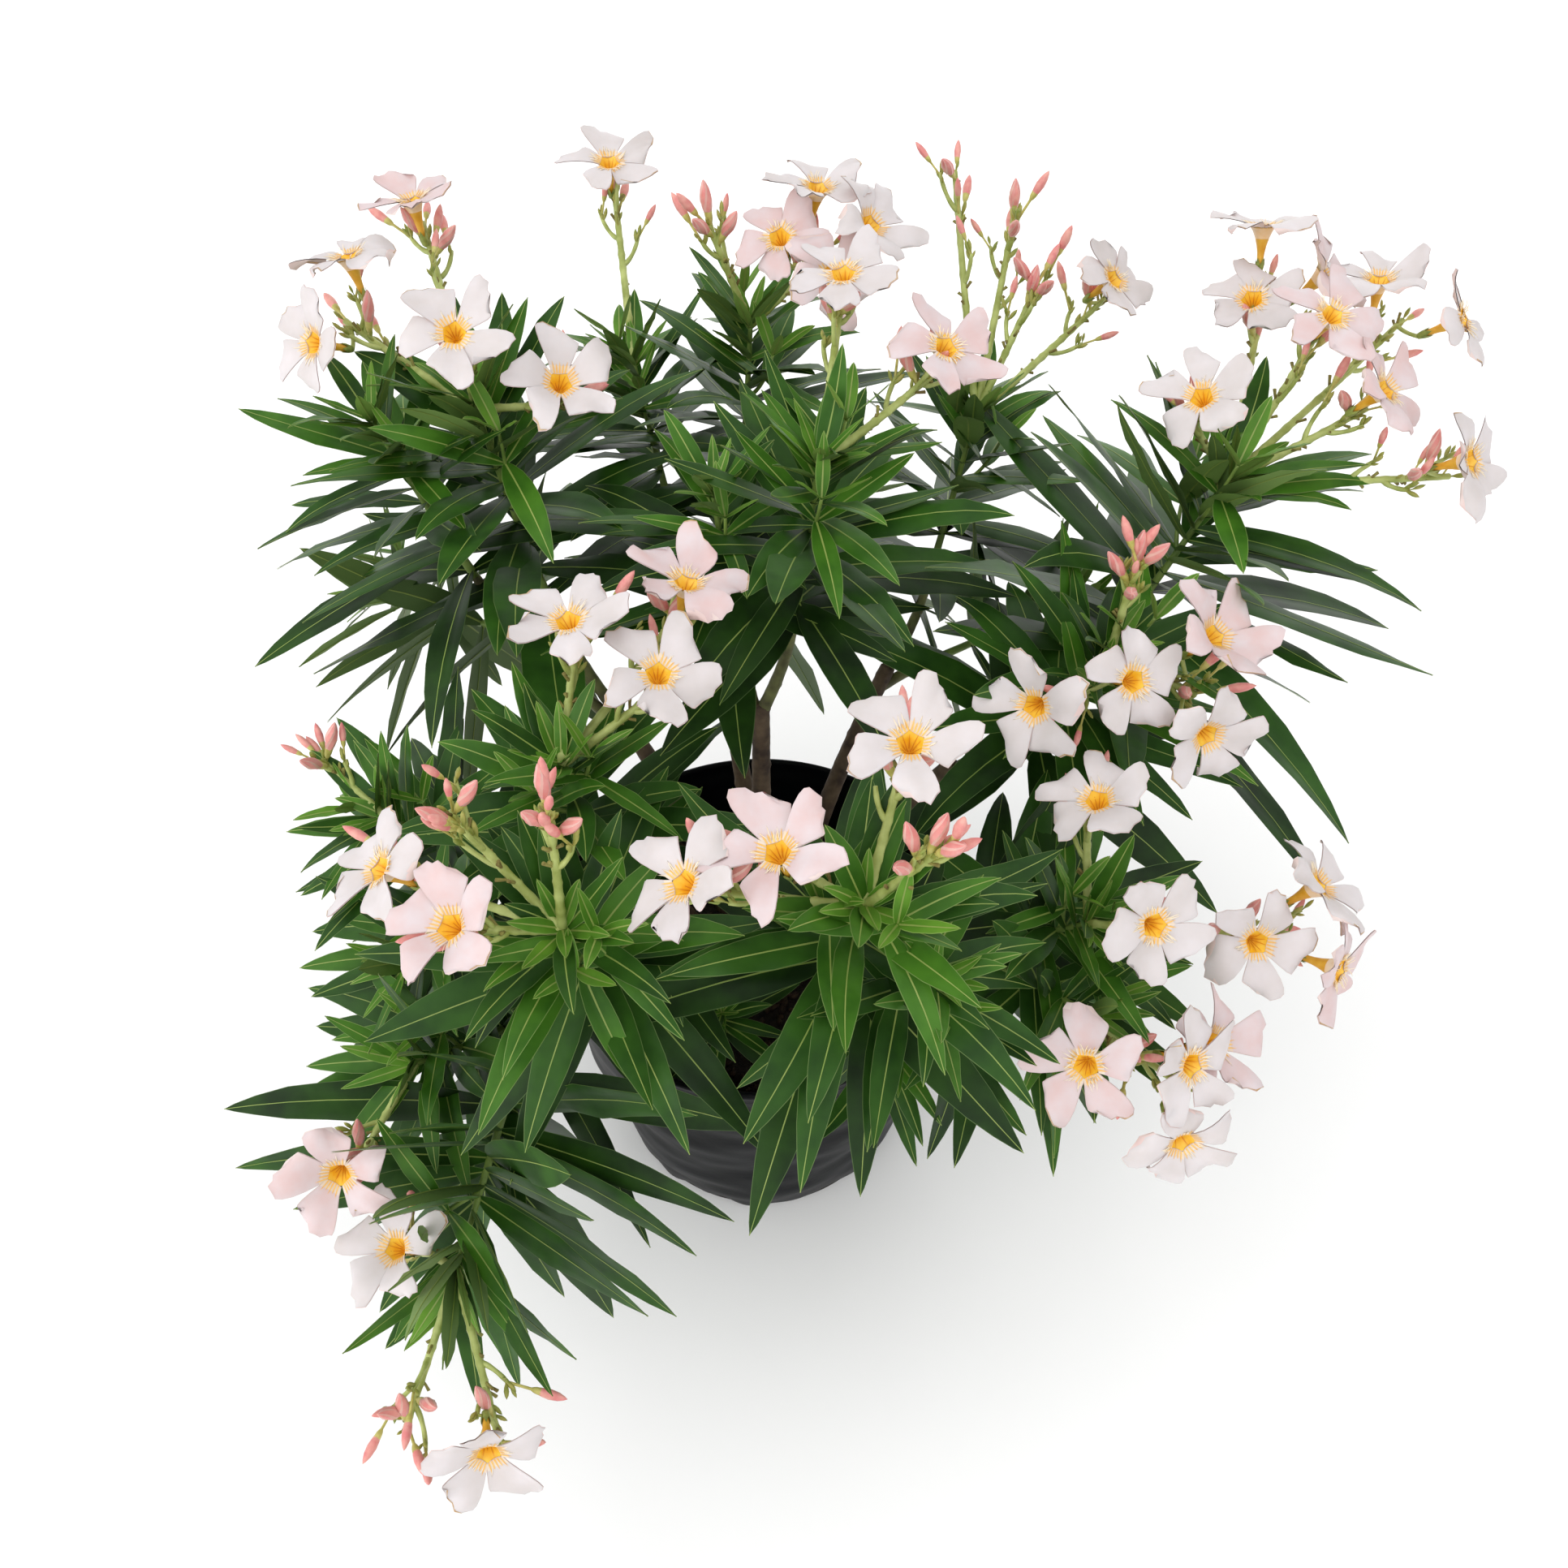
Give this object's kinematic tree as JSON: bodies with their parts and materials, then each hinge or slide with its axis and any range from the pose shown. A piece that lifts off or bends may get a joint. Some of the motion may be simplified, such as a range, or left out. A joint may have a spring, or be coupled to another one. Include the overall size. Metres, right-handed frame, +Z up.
{
  "type": "potted oleander",
  "caption": "Flowering oleander shrub in a round black nursery pot, with forking stems, leafy shoots in whorls and clusters of pale blooms.",
  "frame": {"origin": "centre of the pot's flat underside, on the surface it stands on", "axes": "+Z up along the pot's axis, -Y towards the viewer who sees the plant as its picture does, +X to that viewer's right"},
  "size_m": [0.6727, 0.655, 0.5737],
  "materials": {
    "pot_plastic": "satin black moulded plastic",
    "potting_soil": "moist dark bark compost",
    "bark": "matt grey-brown woody bark",
    "green_bark": "smooth olive green bark with leaf scars",
    "leaf": "leathery dark green leaf with a pale rib",
    "young_leaf": "bright soft green young leaf",
    "flower_stalk": "pale yellow-green stalk with brown scars",
    "petal": "soft white petal with a faint pink blush",
    "throat": "yellow-orange throat and tube",
    "flower_bud": "salmon pink rolled bud"
  },
  "bodies": {
    "root": {"bough_back_low": "green_bark", "bough_crown_back": "green_bark", "bough_crown_back_left": "green_bark", "bough_crown_back_right": "green_bark", "bough_crown_centre": "green_bark", "bough_crown_centre_low": "green_bark", "bough_crown_far_left": "green_bark", "bough_crown_far_right": "green_bark", "bough_crown_left": "green_bark", "bough_front_left": "green_bark", "bough_front_lower": "green_bark", "bough_front_upper": "green_bark", "bough_left_drooping": "green_bark", "bough_left_lower": "green_bark", "bough_left_upper": "green_bark", "bough_low_left_hanging": "green_bark", "bough_low_left_upper": "green_bark", "bough_middle_left": "green_bark", "bough_right_back_low": "green_bark", "bough_right_front_lower": "green_bark", "bough_right_front_upper": "green_bark", "bough_right_middle": "green_bark", "mass_back_low": "leaf", "mass_crown_back": "leaf", "mass_crown_back_left": "leaf", "mass_crown_back_right": "leaf", "mass_crown_centre": "leaf", "mass_crown_centre_low": "leaf", "mass_crown_far_left": "leaf", "mass_crown_far_right": "leaf", "mass_crown_left": "leaf", "mass_front_left": "leaf", "mass_front_lower": "leaf", "mass_front_upper": "leaf", "mass_left_drooping": "leaf", "mass_left_lower": "leaf", "mass_left_upper": "leaf", "mass_low_left_hanging": "leaf", "mass_low_left_upper": "leaf", "mass_middle_left": "leaf", "mass_right_back_low": "leaf", "mass_right_front_lower": "leaf", "mass_right_front_upper": "leaf", "mass_right_middle": "leaf", "mass_rim_shoot": "leaf", "mass_young_shoot": "leaf", "pot": "pot_plastic", "soil": "potting_soil", "stem_back": "bark", "stem_centre": "bark", "stem_front": "bark", "stem_left": "bark", "stem_left_back": "bark", "stem_left_front": "bark", "stem_low_left": "bark", "stem_right": "bark", "stem_right_back": "bark", "stem_right_front": "bark", "stem_rim": "bark", "stem_young": "bark"}
  },
  "joints": []
}
